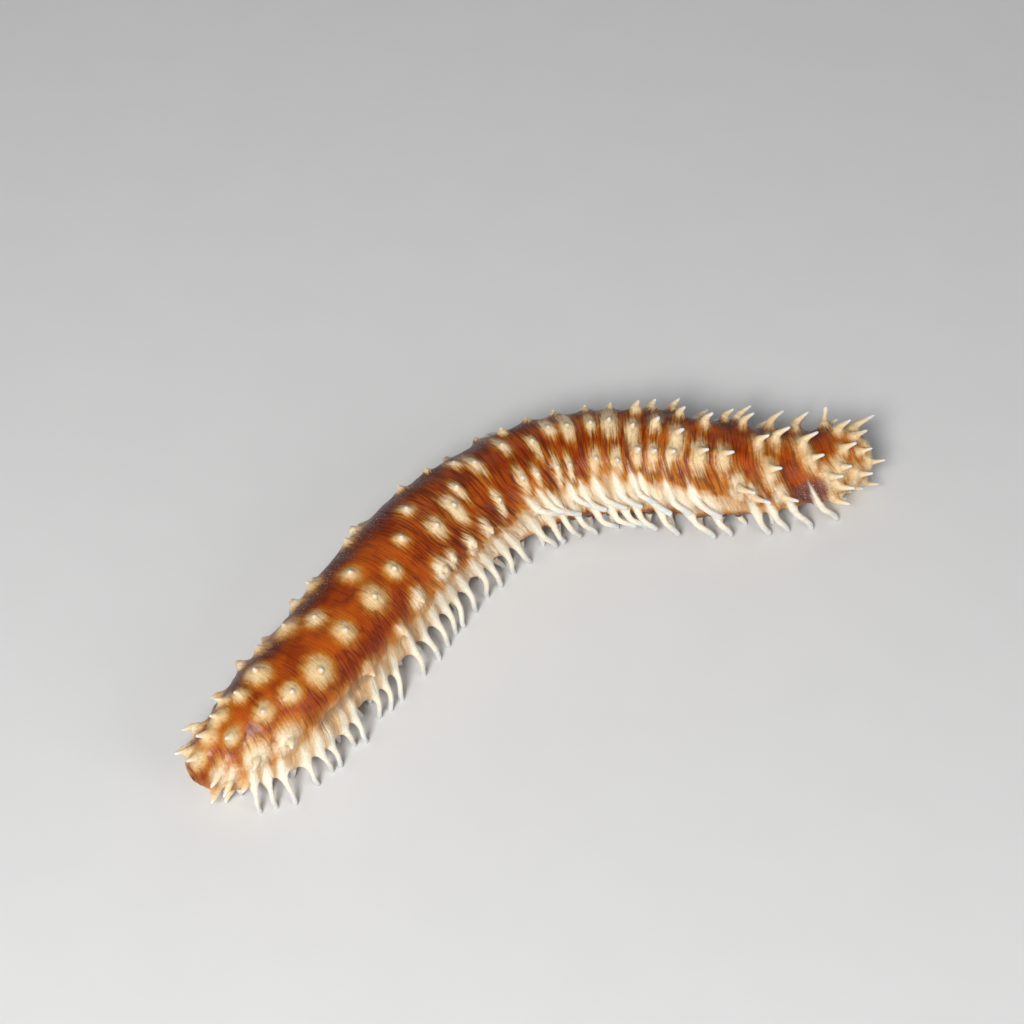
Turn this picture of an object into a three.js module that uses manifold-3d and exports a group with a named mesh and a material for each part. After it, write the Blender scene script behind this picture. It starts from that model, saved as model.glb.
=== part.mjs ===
// A sea cucumber at rest, life size, lying on its sole in one long bend.
// Millimetres, +Z up, +X roughly from the vent to the mouth. The floor is z = 0, and the origin lies
// on it under the middle of the whole animal.
import * as THREE from 'three';
import { mergeVertices } from 'three/addons/utils/BufferGeometryUtils.js';
import Module from 'manifold-3d';

const wasm = await Module();
wasm.setup();

// The body: a sausage of soft wall, flattened along the sole
const LENGTH = 182;
const GIRTH = 11.4; // half width at the thickest place
const BELLY_DEPTH = 0.84; // depth of the sole below the middle, as a part of the half width
const BELLY_SQUARENESS = 0.62;
const CLEARANCE = 1.4; // the sole stands this far off the floor on its short tube feet
const VENT_CAP = 26; // the stretch over which the hind end rounds off
const VENT_RIM = 0.6; // how far short of a point the hind end stops
const MOUTH_CAP = 11;
const MOUTH_RIM = 3.4;
const CAP_FULLNESS = 0.55;
const VENT_DROOP = 0.35;
const MOUTH_DROOP = -0.3;

// The middle of the body seen from above, at eleven even steps from the vent to the mouth
const SPINE = [
  [-71.8, -44.6], [-57.6, -33.6], [-46.5, -18.6], [-36.7, -2.9], [-26.3, 12.3], [-14, 25],
  [1.2, 34.7], [19.1, 37.5], [37.2, 36], [55.1, 37], [72.6, 42.2],
];
// The half width at the same steps, as a part of GIRTH, before the two ends round off
const FULLNESS = [0.82, 0.96, 1, 1.04, 1.05, 1, 0.98, 0.975, 0.9, 0.73, 0.55];

// The body wall is parted into lengths here, in mm from the vent
const CUTS = [35, 54, 75, 95, 116, 140, 164.3];
const NODE_GAP = 0.4;
const ROOT_CLEARANCE = 2.1; // a root stays this far from a cut

// Papillae stand in rows along the back and flanks. angle is taken round the body from the ridge of
// the back, positive on the side inside the bend, and at is each papilla's distance from the vent.
const PAPILLA_ROWS = [
  { angle: -80, at: [15, 33, 52, 68, 92, 104, 121, 142, 158] },
  { angle: -61, at: [23, 42, 64, 98, 136, 152, 168] },
  { angle: -50, at: [28, 47, 60, 77, 84, 108, 113, 119, 124, 132, 149, 160] },
  { angle: -36, at: [12, 34, 102, 129, 138, 153, 166] },
  { angle: -20, at: [9, 15, 21, 88, 144] },
  { angle: -8, at: [38, 51, 71, 91, 99, 110, 114, 119, 123, 133, 160] },
  { angle: 5, at: [64, 83, 105, 128, 138, 156, 166] },
  { angle: 23, at: [9, 16, 22, 39, 49, 57, 72, 79, 143, 148, 175] },
  { angle: 32, at: [29, 98, 129, 133, 137, 167] },
  { angle: 40, at: [90, 102, 108, 112, 119, 124, 143, 158] },
  { angle: 61, at: [4, 11, 17, 57, 66, 70, 77, 83, 151, 170] },
  { angle: 74, at: [38, 49, 154, 160, 172] },
  { angle: 96, at: [8, 171] },
];
const PAPILLA_SINK = 1.2;
const PAPILLA_RADII = [1.5, 1.15, 0.6, 0.28];
const PAPILLA_SIDES = 5;
const LOWEST_TIP = 0.8; // no papilla reaches nearer the floor than this
const PAPILLA_HEIGHT = { vent: 2.4, back: 1.7, mouth: 3.6 };

// Tube feet. Those of the edge rows reach down and outwards to the floor, and the upper rows hang
// free over them.
const EDGE_FEET = {
  inner: [11, 13, 15, 19, 22, 24, 28, 31, 38, 41, 45, 51, 56, 60, 64, 68, 72, 78, 82, 88, 92,
    99, 104, 108, 113, 119, 123, 126, 130, 136, 142, 147, 155.5, 158.8, 162.7, 168],
  outer: [12, 18, 24, 29, 33, 39, 43, 49, 56, 60, 66, 72, 78, 83, 88, 92, 99, 105, 111, 115,
    122, 128, 134, 138, 144, 150, 157, 165],
};
const UPPER_FEET = {
  inner: [99, 103, 106, 112, 120, 125, 132, 143, 153],
  outer: [101, 109, 125, 147, 156],
};
const EDGE_ANGLE = { hind: 110, fore: 105 };
const UPPER_ANGLE = 76;
const FOOT_SINK = 1.5;
const FOOT_RADII = [1.6, 1.0, 0.7, 0.9];
const FREE_FOOT_RADII = [1.6, 0.95, 0.6, 0.5];
const FOOT_SIDES = 5;
// How far a foot's disc stands outside the body's own half width, and how far it is set towards the
// mouth, at the same eleven steps as the spine
const FOOT_SPREAD = [0.5, 2.2, 1, 3.3, 2.8, 2, 1.6, -2.2, -1, 2, -9];
const FOOT_LEAN = [-4.5, 0.9, -0.3, -0.8, 0.3, 2.2, 3, 4.4, 4.4, 3.8, 4];
// How high a disc is held clear of the floor there
const FOOT_LIFT = [0, 0, 0, 0, 0, 0, 2, 3.2, 1.5, 0, 0];
const SOLE_ROWS = [152, 180, 208];
const SOLE_STEP = 11;
const SOLE_RADII = [1.5, 1.0, 1.1];

// The vent's pit and the mouth's disc
const VENT_PIT = { radius: 0.9, depth: 2 };
const VENT_RINGS = [
  { at: 2.5, count: 6, height: 2.6, turn: 10 },
  { at: 6, count: 7, height: 3, turn: 35 },
];
const CROWN_RINGS = [
  { at: 175.5, count: 9, height: 3.2, turn: 12 },
  { at: 179.5, count: 9, height: 2.7, turn: 32 },
];
const TALL_PAPILLA = { at: 173.5, angle: -46, height: 5.6, lean: 0.1 };
const DISC = { radius: 3.3, recess: 1.6, thickness: 2.2, buds: 10, budLength: 1.5, budRadius: 0.62 };

// How finely the solids are faceted
const AROUND = 20;
const RING_STEP = 3.5;
const FINEST_EDGE = 0.02;

const UP = new THREE.Vector3(0, 0, 1);
const SKIN_COLOUR = 0x9c4a17;
const DISC_COLOUR = 0xd9b98c;

const mix = THREE.MathUtils.lerp;
const degrees = THREE.MathUtils.degToRad;
const ramp = THREE.MathUtils.smoothstep;

// A repeatable draw between -1 and 1 for the nth of a kind
function vary(n, kind) {
  const drawn = Math.sin(n * 12.9898 + kind * 78.233) * 43758.5453;
  return 2 * (drawn - Math.floor(drawn)) - 1;
}

// A smooth curve through evenly spaced values
function through(values, share) {
  const place = THREE.MathUtils.clamp(share, 0, 1) * (values.length - 1);
  const k = Math.min(Math.floor(place), values.length - 2);
  const t = place - k;
  const [b, c] = [values[k], values[k + 1]];
  const a = k > 0 ? values[k - 1] : 2 * b - c;
  const d = k + 2 < values.length ? values[k + 2] : 2 * c - b;
  return 0.5 * (2 * b + (c - a) * t + (2 * a - 5 * b + 4 * c - d) * t * t + (3 * b - a - 3 * c + d) * t ** 3);
}

// Where the middle of the body runs, seen from above
function spinePoint(at) {
  const share = at / LENGTH;
  const [x, y] = [0, 1].map((axis) => through(SPINE.map((point) => point[axis]), share));
  return new THREE.Vector3(x, y, 0);
}

// The directions along the body and out to the inner side of the bend, both level
function forwardAt(at) {
  const step = 0.5;
  const near = THREE.MathUtils.clamp(at, step, LENGTH - step);
  return spinePoint(near + step).sub(spinePoint(near - step)).normalize();
}

function sideAt(at) {
  return forwardAt(at).cross(UP);
}

// How much of its full width the body has at a distance from one of its ends
function closing(distance, cap) {
  return distance >= cap ? 1 : (1 - (1 - distance / cap) ** 2) ** CAP_FULLNESS;
}

function halfWidth(at) {
  const ventEnd = closing(at + VENT_RIM, VENT_CAP);
  const mouthEnd = closing(LENGTH - at + MOUTH_RIM, MOUTH_CAP);
  return GIRTH * through(FULLNESS, at / LENGTH) * ventEnd * mouthEnd;
}

// The height of the middle of the body. It sinks where the vent end rounds off and lifts at the mouth.
function middleHeight(at) {
  const full = GIRTH * through(FULLNESS, at / LENGTH);
  const droop = at < LENGTH / 2 ? VENT_DROOP : MOUTH_DROOP;
  return CLEARANCE + BELLY_DEPTH * mix(full, halfWidth(at), droop);
}

// A point on the skin. angle is in degrees from the ridge of the back, 180 under the sole.
function skinPoint(at, angle, width = halfWidth(at)) {
  const turn = degrees(angle);
  const rise = Math.cos(turn);
  const lift = rise >= 0 ? rise : -BELLY_DEPTH * (-rise) ** BELLY_SQUARENESS;
  return spinePoint(at)
    .addScaledVector(sideAt(at), width * Math.sin(turn))
    .setZ(middleHeight(at) + width * lift);
}

// The direction straight out of the skin there
function skinNormal(at, angle) {
  const step = 0.4;
  const before = Math.max(at - step, 0);
  const after = Math.min(at + step, LENGTH);
  const alongSkin = skinPoint(after, angle).sub(skinPoint(before, angle));
  const roundSkin = skinPoint(at, angle + 2).sub(skinPoint(at, angle - 2));
  return roundSkin.cross(alongSkin).normalize();
}

// Joining and cutting closed meshes
function solid(geometry) {
  geometry.deleteAttribute('normal');
  geometry.deleteAttribute('uv');
  const merged = mergeVertices(geometry);
  const vertProperties = Float32Array.from(merged.attributes.position.array);
  const triVerts = Uint32Array.from(merged.index.array);
  return new wasm.Manifold(new wasm.Mesh({ numProp: 3, vertProperties, triVerts }));
}

// The largest closed surface of a joined solid, as three.js geometry
function toGeometry(joined) {
  const pieces = joined.simplify(FINEST_EDGE).decompose();
  pieces.sort((one, other) => other.volume() - one.volume());
  const mesh = pieces[0].getMesh();
  const geometry = new THREE.BufferGeometry();
  geometry.setAttribute('position', new THREE.BufferAttribute(mesh.vertProperties, 3));
  geometry.setIndex(new THREE.BufferAttribute(mesh.triVerts, 1));
  return geometry;
}

// A closed round bar bent to a shape: place gives each vertex its place from how far along the bar
// it is, 0 to 1, its turn round it and its distance from the bar's middle, 0 or 1
function bar(sides, steps, place) {
  const geometry = new THREE.CylinderGeometry(1, 1, 1, sides, steps);
  const vertices = geometry.attributes.position;
  for (let i = 0; i < vertices.count; i += 1) {
    const [x, y, z] = [vertices.getX(i), vertices.getY(i), vertices.getZ(i)];
    const point = place(y + 0.5, Math.atan2(x, z), Math.min(Math.hypot(x, z), 1));
    vertices.setXYZ(i, point.x, point.y, point.z);
  }
  return solid(geometry);
}

// One length of the body wall, with flat faces where it is parted from its neighbours
function bodyLength(from, to) {
  const steps = Math.max(2, Math.round((to - from) / RING_STEP));
  return bar(AROUND, steps, (t, turn, out) => {
    const at = mix(from, to, t);
    return skinPoint(at, THREE.MathUtils.radToDeg(turn), out * halfWidth(at));
  });
}

// The exact direction of a bend at t, so that a ring at its end lies quite square to its last stretch
function directionAt(curve, t) {
  const [a, b, c, d] = [curve.v0, curve.v1, curve.v2, curve.v3];
  return new THREE.Vector3()
    .addScaledVector(b.clone().sub(a), (1 - t) ** 2)
    .addScaledVector(c.clone().sub(b), 2 * t * (1 - t))
    .addScaledVector(d.clone().sub(c), t ** 2)
    .normalize();
}

// A tapering horn along a bend, its rings as wide as radii say. across keeps the rings from turning.
function horn(curve, radii, sides, across) {
  return bar(sides, radii.length - 1, (t, turn, out) => {
    const direction = directionAt(curve, t);
    const first = across.clone().addScaledVector(direction, -across.dot(direction)).normalize();
    const second = first.clone().cross(direction);
    const radius = out * radii[Math.round(t * (radii.length - 1))];
    return curve.getPoint(t)
      .addScaledVector(first, radius * Math.sin(turn))
      .addScaledVector(second, radius * Math.cos(turn));
  });
}

function clearOfCuts(at) {
  const near = CUTS.find((cut) => Math.abs(at - cut) < ROOT_CLEARANCE);
  return near === undefined ? at : near + (at < near ? -ROOT_CLEARANCE : ROOT_CLEARANCE);
}

// How tall the papillae are along the body, and how far they lean towards the nearer end
function papillaHeight(at) {
  const { vent, back, mouth } = PAPILLA_HEIGHT;
  return back + (vent - back) * (1 - ramp(at, 8, 30)) + (mouth - back) * ramp(at, 100, 165);
}

function papillaLean(at) {
  return -0.5 * (1 - ramp(at, 4, 26)) + 0.75 * ramp(at, 108, 165);
}

function papilla(at, angle, height, leaning = papillaLean(at)) {
  const root = skinPoint(at, angle);
  const normal = skinNormal(at, angle);
  const forward = forwardAt(at);
  const lean = leaning * height;
  const tip = root.clone().addScaledVector(normal, height).addScaledVector(forward, lean);
  const bend = root.clone().addScaledVector(normal, 0.7 * height).addScaledVector(forward, 0.4 * lean);
  tip.z = Math.max(tip.z, LOWEST_TIP);
  bend.z = Math.max(bend.z, LOWEST_TIP);
  const curve = new THREE.CubicBezierCurve3(
    root.clone().addScaledVector(normal, -PAPILLA_SINK),
    root.clone().addScaledVector(normal, 0.2 * height),
    bend,
    tip,
  );
  return horn(curve, PAPILLA_RADII, PAPILLA_SIDES, forward);
}

// A foot that leaves the skin square, bends down and stands on a flat disc, on the floor or, lifted,
// a little over it
function standingFoot(at, angle, out, lean, radii, lift = 0) {
  const root = skinPoint(at, angle);
  const normal = skinNormal(at, angle);
  const forward = forwardAt(at);
  const disc = spinePoint(at).addScaledVector(sideAt(at), out).addScaledVector(forward, lean).setZ(lift);
  const drop = Math.min(0.45 * (root.z - lift), 2.5);
  const curve = new THREE.CubicBezierCurve3(
    root.clone().addScaledVector(normal, -FOOT_SINK),
    root.clone().addScaledVector(normal, 0.35 * root.z),
    disc.clone().setZ(lift + drop),
    disc,
  );
  return horn(curve, radii, FOOT_SIDES, forward);
}

// A foot that hangs free, stretched along the flank towards the mouth
function freeFoot(at, angle, reach, lean) {
  const root = skinPoint(at, angle);
  const normal = skinNormal(at, angle);
  const forward = forwardAt(at);
  const tip = root.clone().addScaledVector(normal, reach).addScaledVector(forward, lean);
  tip.z = Math.max(root.z - 0.55 * reach - 0.25 * lean, 1.5);
  const curve = new THREE.CubicBezierCurve3(
    root.clone().addScaledVector(normal, -FOOT_SINK),
    root.clone().addScaledVector(normal, 0.5 * reach),
    tip.clone().lerp(root, 0.35).addScaledVector(normal, 0.4 * reach),
    tip,
  );
  return horn(curve, FREE_FOOT_RADII, FOOT_SIDES, forward);
}

// Everything that grows from the skin, each with its distance from the vent
const growths = [];

function grow(at, make) {
  const place = clearOfCuts(at);
  growths.push({ at: place, make: () => make(place) });
}

PAPILLA_ROWS.forEach((row, r) => row.at.forEach((at, n) => {
  const angle = row.angle + 3 * vary(n, r);
  const height = papillaHeight(at) * (1 + 0.25 * vary(n, r + 20));
  grow(at, (place) => papilla(place, angle, height));
}));

for (const [side, name] of [[1, 'inner'], [-1, 'outer']]) {
  EDGE_FEET[name].forEach((at, n) => {
    const angle = side * (mix(EDGE_ANGLE.hind, EDGE_ANGLE.fore, ramp(at, 90, 130)) + 3 * vary(n, 41));
    const out = side * (halfWidth(at) + through(FOOT_SPREAD, at / LENGTH) + vary(n, 42));
    const lean = through(FOOT_LEAN, at / LENGTH) + vary(n, 43 + side);
    const lift = Math.max(0, through(FOOT_LIFT, at / LENGTH) * (1 + 0.4 * vary(n, 45)));
    grow(at, (place) => standingFoot(place, angle, out, lean, FOOT_RADII, lift));
  });
  UPPER_FEET[name].forEach((at, n) => {
    const angle = side * (UPPER_ANGLE + 8 * vary(n, 51));
    const reach = 1.8 + 0.5 * vary(n, 52);
    const lean = 5.8 + vary(n, 53 + side);
    grow(at, (place) => freeFoot(place, angle, reach, lean));
  });
}

SOLE_ROWS.forEach((angle, row) => {
  for (let at = 18 + (row % 2) * SOLE_STEP / 2; at < LENGTH - 14; at += SOLE_STEP) {
    const out = skinPoint(at, angle).sub(spinePoint(at)).dot(sideAt(at));
    grow(at, (place) => standingFoot(place, angle, out + 0.5 * vary(at, row), 0, SOLE_RADII));
  }
});

// The rings round the two ends are shorter below than above
[...VENT_RINGS, ...CROWN_RINGS].forEach((ring, r) => {
  for (let n = 0; n < ring.count; n += 1) {
    const angle = (360 * n) / ring.count + ring.turn;
    const height = ring.height * (0.8 + 0.2 * Math.cos(degrees(angle))) * (1 + 0.2 * vary(n, 61 + r));
    grow(ring.at, (place) => papilla(place, angle, height));
  }
});
const { angle: tallAngle, height: tallHeight, lean: tallLean } = TALL_PAPILLA;
grow(TALL_PAPILLA.at, (place) => papilla(place, tallAngle, tallHeight, tallLean));

// A round plug or pit on the body's axis, between two distances from the vent
function axialBar(from, to, radiusFrom, radiusTo, sides, steps = 1) {
  const middle = (at) => spinePoint(Math.min(at, LENGTH))
    .addScaledVector(forwardAt(at), Math.max(at - LENGTH, 0) + Math.min(at, 0))
    .setZ(middleHeight(THREE.MathUtils.clamp(at, 0, LENGTH)));
  return bar(sides, steps, (t, turn, out) => {
    const at = mix(from, to, t);
    const radius = out * mix(radiusFrom, radiusTo, t);
    return middle(at)
      .addScaledVector(sideAt(at), radius * Math.sin(turn))
      .addScaledVector(UP, radius * Math.cos(turn));
  });
}

// The lengths of the body, from the vent to the mouth
const NAMES = [
  'vent_end', 'hind_body', 'hind_mid_body', 'mid_body', 'fore_mid_body', 'fore_body', 'neck', 'mouth_end',
];
const skinMaterial = new THREE.MeshStandardMaterial({ color: SKIN_COLOUR, roughness: 0.35, metalness: 0 });
const discMaterial = new THREE.MeshStandardMaterial({ color: DISC_COLOUR, roughness: 0.4, metalness: 0 });

function node(name, joined, middle, material) {
  const mesh = new THREE.Mesh(toGeometry(joined), material);
  mesh.geometry.translate(-middle.x, -middle.y, 0);
  mesh.position.set(middle.x, middle.y, 0);
  mesh.name = name;
  return mesh;
}

function buildLength(index) {
  const from = index === 0 ? 0 : CUTS[index - 1] + NODE_GAP / 2;
  const to = index === CUTS.length ? LENGTH : CUTS[index] - NODE_GAP / 2;
  let joined = wasm.Manifold.union([
    bodyLength(from, to),
    ...growths.filter((one) => one.at > from && one.at < to).map((one) => one.make()),
  ]);
  if (index === 0) {
    joined = joined.subtract(axialBar(-1, VENT_PIT.depth, 1.5 * VENT_PIT.radius, 0.3, 8));
  }
  if (index === CUTS.length) {
    joined = joined.subtract(axialBar(LENGTH - DISC.recess, LENGTH + 1, DISC.radius + NODE_GAP,
      DISC.radius + NODE_GAP, 16));
  }
  return node(NAMES[index], joined, spinePoint((from + to) / 2), skinMaterial);
}

// The mouth's disc sits in its recess, ringed with the blunt buds of its drawn-in tentacles
function buildMouth() {
  const back = LENGTH - DISC.recess + NODE_GAP;
  const front = back + DISC.thickness;
  const forward = forwardAt(LENGTH);
  const side = sideAt(LENGTH);
  const centre = spinePoint(LENGTH).setZ(middleHeight(LENGTH)).addScaledVector(forward, front - LENGTH);
  const buds = Array.from({ length: DISC.buds }, (_, n) => {
    const turn = (2 * Math.PI * n) / DISC.buds;
    const outwards = side.clone().multiplyScalar(Math.sin(turn)).addScaledVector(UP, Math.cos(turn));
    const root = centre.clone().addScaledVector(outwards, DISC.radius - 1.25 * DISC.budRadius);
    const tip = root.clone().addScaledVector(forward, DISC.budLength).addScaledVector(outwards, -0.5);
    const curve = new THREE.CubicBezierCurve3(
      root.clone().addScaledVector(forward, -0.8),
      root,
      root.clone().addScaledVector(forward, 0.6 * DISC.budLength),
      tip,
    );
    return horn(curve, [DISC.budRadius, DISC.budRadius, 0.35], 6, outwards);
  });
  const joined = wasm.Manifold.union([
    axialBar(back, front, DISC.radius, DISC.radius - 0.3, 16),
    ...buds,
  ]);
  return node('mouth', joined.subtract(axialBar(front - 0.9, front + 1, 0.3, 1.3, 8)), centre, discMaterial);
}

const seaCucumber = new THREE.Group();
NAMES.forEach((_, index) => seaCucumber.add(buildLength(index)));
seaCucumber.add(buildMouth());

export default seaCucumber;
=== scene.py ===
import math
from collections import namedtuple

import bmesh
import bpy
import numpy as np
from mathutils import Matrix, Vector, noise


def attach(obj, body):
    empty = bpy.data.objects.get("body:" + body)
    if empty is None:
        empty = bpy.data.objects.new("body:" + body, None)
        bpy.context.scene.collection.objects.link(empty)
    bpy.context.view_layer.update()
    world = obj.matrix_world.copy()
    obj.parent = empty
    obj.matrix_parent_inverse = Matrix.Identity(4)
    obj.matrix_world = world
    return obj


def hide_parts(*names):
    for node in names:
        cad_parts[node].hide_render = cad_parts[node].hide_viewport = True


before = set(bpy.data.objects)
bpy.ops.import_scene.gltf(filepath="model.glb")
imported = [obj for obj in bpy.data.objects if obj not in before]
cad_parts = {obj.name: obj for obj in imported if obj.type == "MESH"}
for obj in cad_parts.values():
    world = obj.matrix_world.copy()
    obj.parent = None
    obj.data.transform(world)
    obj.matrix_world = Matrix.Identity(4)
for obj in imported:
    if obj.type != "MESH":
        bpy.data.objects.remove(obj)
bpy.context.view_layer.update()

# The body wall
# A sea cucumber is one thick, soft, wet wall round its gut, flattened along the sole that it lies on.
# Its form here is a round section, carried along the bend of the body and narrowing to both ends. All
# the sizes of the animal are in millimetres until its mesh is finished.
MM = 0.001
LENGTH = 182.0
# The radius where the body is fullest, the belly's depth as a share of it, and the gap under the belly
GIRTH = 11.4
BELLY_DEPTH = 0.84
BELLY_SQUARENESS = 0.62
CLEARANCE = 1.4
# Each end closes over its cap's length, and its rim is how far it is from closed where the body ends
VENT_CAP = 26.0
VENT_RIM = 0.6
MOUTH_CAP = 11.0
MOUTH_RIM = 3.4
CAP_FULLNESS = 0.55
VENT_DROOP = 0.35
MOUTH_DROOP = -0.3
# The middle line on the floor and the body's fullness, at even steps from the vent to the mouth. Every
# list below whose values go by the length of the body is read in this way.
SPINE = [
    (-71.8, -44.6), (-57.6, -33.6), (-46.5, -18.6), (-36.7, -2.9), (-26.3, 12.3), (-14, 25),
    (1.2, 34.7), (19.1, 37.5), (37.2, 36), (55.1, 37), (72.6, 42.2),
]
FULLNESS = [0.82, 0.96, 1, 1.04, 1.05, 1, 0.98, 0.975, 0.9, 0.73, 0.55]


def through(values, share):
    """A smooth curve through evenly spaced values."""
    values = np.asarray(values, float)
    padded = np.concatenate([[2 * values[0] - values[1]], values, [2 * values[-1] - values[-2]]])
    place = np.clip(share, 0, 1) * (len(values) - 1)
    k = np.minimum(place.astype(int), len(values) - 2)
    t = place - k
    if values.ndim > 1:
        t = t[..., None]
    a, b, c, d = (padded[k + n] for n in range(4))
    square, cube = 2 * a - 5 * b + 4 * c - d, 3 * b - a - 3 * c + d
    return 0.5 * (2 * b + (c - a) * t + square * t**2 + cube * t**3)


def ramp(value, low, high):
    """0 up to low and 1 from high on, with a smooth rise between."""
    t = np.clip((value - low) / (high - low), 0, 1)
    return t * t * (3 - 2 * t)


def spine_point(at):
    level = through(SPINE, at / LENGTH)
    return np.stack([level[..., 0], level[..., 1], 0 * at], -1)


def forward_at(at):
    near = np.clip(at, 0.5, LENGTH - 0.5)
    step = spine_point(near + 0.5) - spine_point(near - 0.5)
    return step / np.linalg.norm(step, axis=-1, keepdims=True)


def side_at(at):
    """Out to the inner side of the bend, level."""
    forward = forward_at(at)
    return np.stack([forward[..., 1], -forward[..., 0], 0 * at], -1)


def closing(distance, cap):
    """How far an end has opened to its full size, as a share, at a distance from it."""
    return (1 - np.clip(1 - distance / cap, 0, 1) ** 2) ** CAP_FULLNESS


def half_width(at):
    ends = closing(at + VENT_RIM, VENT_CAP) * closing(LENGTH - at + MOUTH_RIM, MOUTH_CAP)
    return GIRTH * through(FULLNESS, at / LENGTH) * ends


def middle_height(at):
    full = GIRTH * through(FULLNESS, at / LENGTH)
    droop = np.where(at < LENGTH / 2, VENT_DROOP, MOUTH_DROOP)
    return CLEARANCE + BELLY_DEPTH * (full + (half_width(at) - full) * droop)


def lift_at(turn):
    rise = np.cos(turn)
    return np.where(rise >= 0, rise, -BELLY_DEPTH * np.abs(rise) ** BELLY_SQUARENESS)


# The way round the body is measured in mm from the ridge of the back, and is positive inside the bend.
# TURNS and ROUND give it at every quarter of a degree, for a half width of 1.
TURNS = np.radians(np.linspace(-180, 180, 1441))
ROUND = np.concatenate([[0], np.cumsum(np.hypot(np.diff(np.sin(TURNS)), np.diff(lift_at(TURNS))))])
WHOLE_ROUND = ROUND[-1]
ROUND = ROUND - WHOLE_ROUND / 2


def arc_at(at, turn):
    return np.interp(turn, TURNS, ROUND) * half_width(at)


def wrapped(value, whole):
    return (value + whole / 2) % whole - whole / 2


def skin_point(at, arc):
    width = half_width(at)
    turn = np.interp(wrapped(arc / width, WHOLE_ROUND), ROUND, TURNS)
    point = spine_point(at) + side_at(at) * (width * np.sin(turn))[..., None]
    point[..., 2] = middle_height(at) + width * lift_at(turn)
    return point


def skin_normal(at, arc):
    step = 0.4
    along = skin_point(np.minimum(at + step, LENGTH), arc) - skin_point(np.maximum(at - step, 0), arc)
    around = skin_point(at, arc + step) - skin_point(at, arc - step)
    normal = np.cross(around, along)
    return normal / np.linalg.norm(normal, axis=-1, keepdims=True)


def vary(n, kind):
    """A repeatable draw between -1 and 1 for the nth of a kind."""
    drawn = math.sin(n * 12.9898 + kind * 78.233) * 43758.5453
    return 2 * (drawn - math.floor(drawn)) - 1


# Papillae
# Soft, pointed warts of the same skin. On the back they are drawn in to low nubs, each in its cream
# spot, and at the two ends they stand tall and lean outwards. A row has its angle round the body from
# the ridge of the back, how tall it is for its place, and its distances from the vent.
PAPILLA_ROWS = [
    (-80, 1.9, [15, 33, 52, 68, 92, 104, 121, 142, 158]),
    (-61, 1.7, [23, 42, 64, 98, 136, 152, 168]),
    (-50, 1.3, [28, 47, 60, 77, 84, 108, 113, 119, 124, 132, 149, 160]),
    (-36, 1.1, [12, 34, 102, 129, 138, 153, 166]),
    (-20, 1, [9, 15, 21, 88, 144]),
    (-8, 1, [38, 51, 71, 91, 99, 110, 114, 119, 123, 133, 160]),
    (5, 1, [64, 83, 105, 128, 138, 156, 166]),
    (23, 1, [9, 16, 22, 39, 49, 57, 72, 79, 143, 148, 175]),
    (32, 1, [29, 98, 129, 133, 137, 167]),
    (40, 1, [90, 102, 108, 112, 119, 124, 143, 158]),
    (61, 1.9, [4, 11, 17, 57, 66, 70, 77, 83, 151, 170]),
    (74, 1.9, [38, 49, 154, 160, 172]),
    (96, 1, [8, 171]),
]
PAPILLA_HEIGHT = {"vent": 1.7, "back": 1.0, "mouth": 3.3}
# How far they lean towards the mouth, as a share of their height, and so much more right at the mouth
PAPILLA_LEAN = {"vent": -0.5, "front": 0.75, "mouth": 0.7}
# The radii from the root to the tip, for those lower than NUB_HEIGHT and for the rest
NUB_HEIGHT = 1.8
NUB_RADII = [1.0, 0.62, 0.42, 0.24]
PAPILLA_RADII = [1.35, 1.0, 0.7, 0.5, 0.34]
# The papillae round the two ends: distance from the vent, number, height and first angle
END_RINGS = [
    (2.2, 7, 3.0, 10), (6, 8, 3.2, 35),
    (173.6, 7, 2.0, 50), (176.6, 9, 2.5, 20), (179.3, 10, 2.4, 0), (181.3, 11, 1.9, 20),
]
# One papilla near the mouth stands far above the rest and ends in a knob
TALL_PAPILLA = {"at": 174.3, "degrees": -46, "height": 5.4, "lean": 0.1}
TALL_RADII = [1.35, 0.9, 0.62, 0.5, 0.46, 0.8, 0.5]
# The flank's papillae hang down where they stand past DROOPS_FROM degrees, in the vent half
FLANK_DROOP = 0.5
DROOPS_FROM = 55
DROOPS_TO = 100
LOWEST_TIP = 0.8

# kind is papilla or foot; at and arc are the root's place on the skin; start, bend and tip shape its
# curve, start and bend being steps from the root and the tip; the skin is drawn up by tent round the
# root, over the three distances in spread: along the body, up the flank and down it. Up the flank the
# drawn-up ridge slants back by slope.
Growth = namedtuple("Growth", "kind at arc start bend tip radii tent spread slope")
growths = []
# Two roots may stand as near as this share of their radii
ROOM = 0.95


def add_growth(*values):
    """Adds a growth, unless one that is already there leaves no room for its root."""
    new = Growth(*values)
    for one in growths:
        apart = wrapped(new.arc - one.arc, WHOLE_ROUND * half_width(new.at))
        if math.hypot(new.at - one.at, apart) < ROOM * (new.radii[0] + one.radii[0]):
            return
    growths.append(new)


def place_of(at, degrees):
    """A root's place along and round the skin, its point, and the directions out and forward there."""
    at = np.array(float(at))
    arc = arc_at(at, math.radians(degrees))
    return at, arc, skin_point(at, arc), skin_normal(at, arc), forward_at(at)


def papilla_height(at):
    vent, back, mouth = PAPILLA_HEIGHT["vent"], PAPILLA_HEIGHT["back"], PAPILLA_HEIGHT["mouth"]
    return back + (vent - back) * (1 - ramp(at, 8, 30)) + (mouth - back) * ramp(at, 108, 160)


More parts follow.
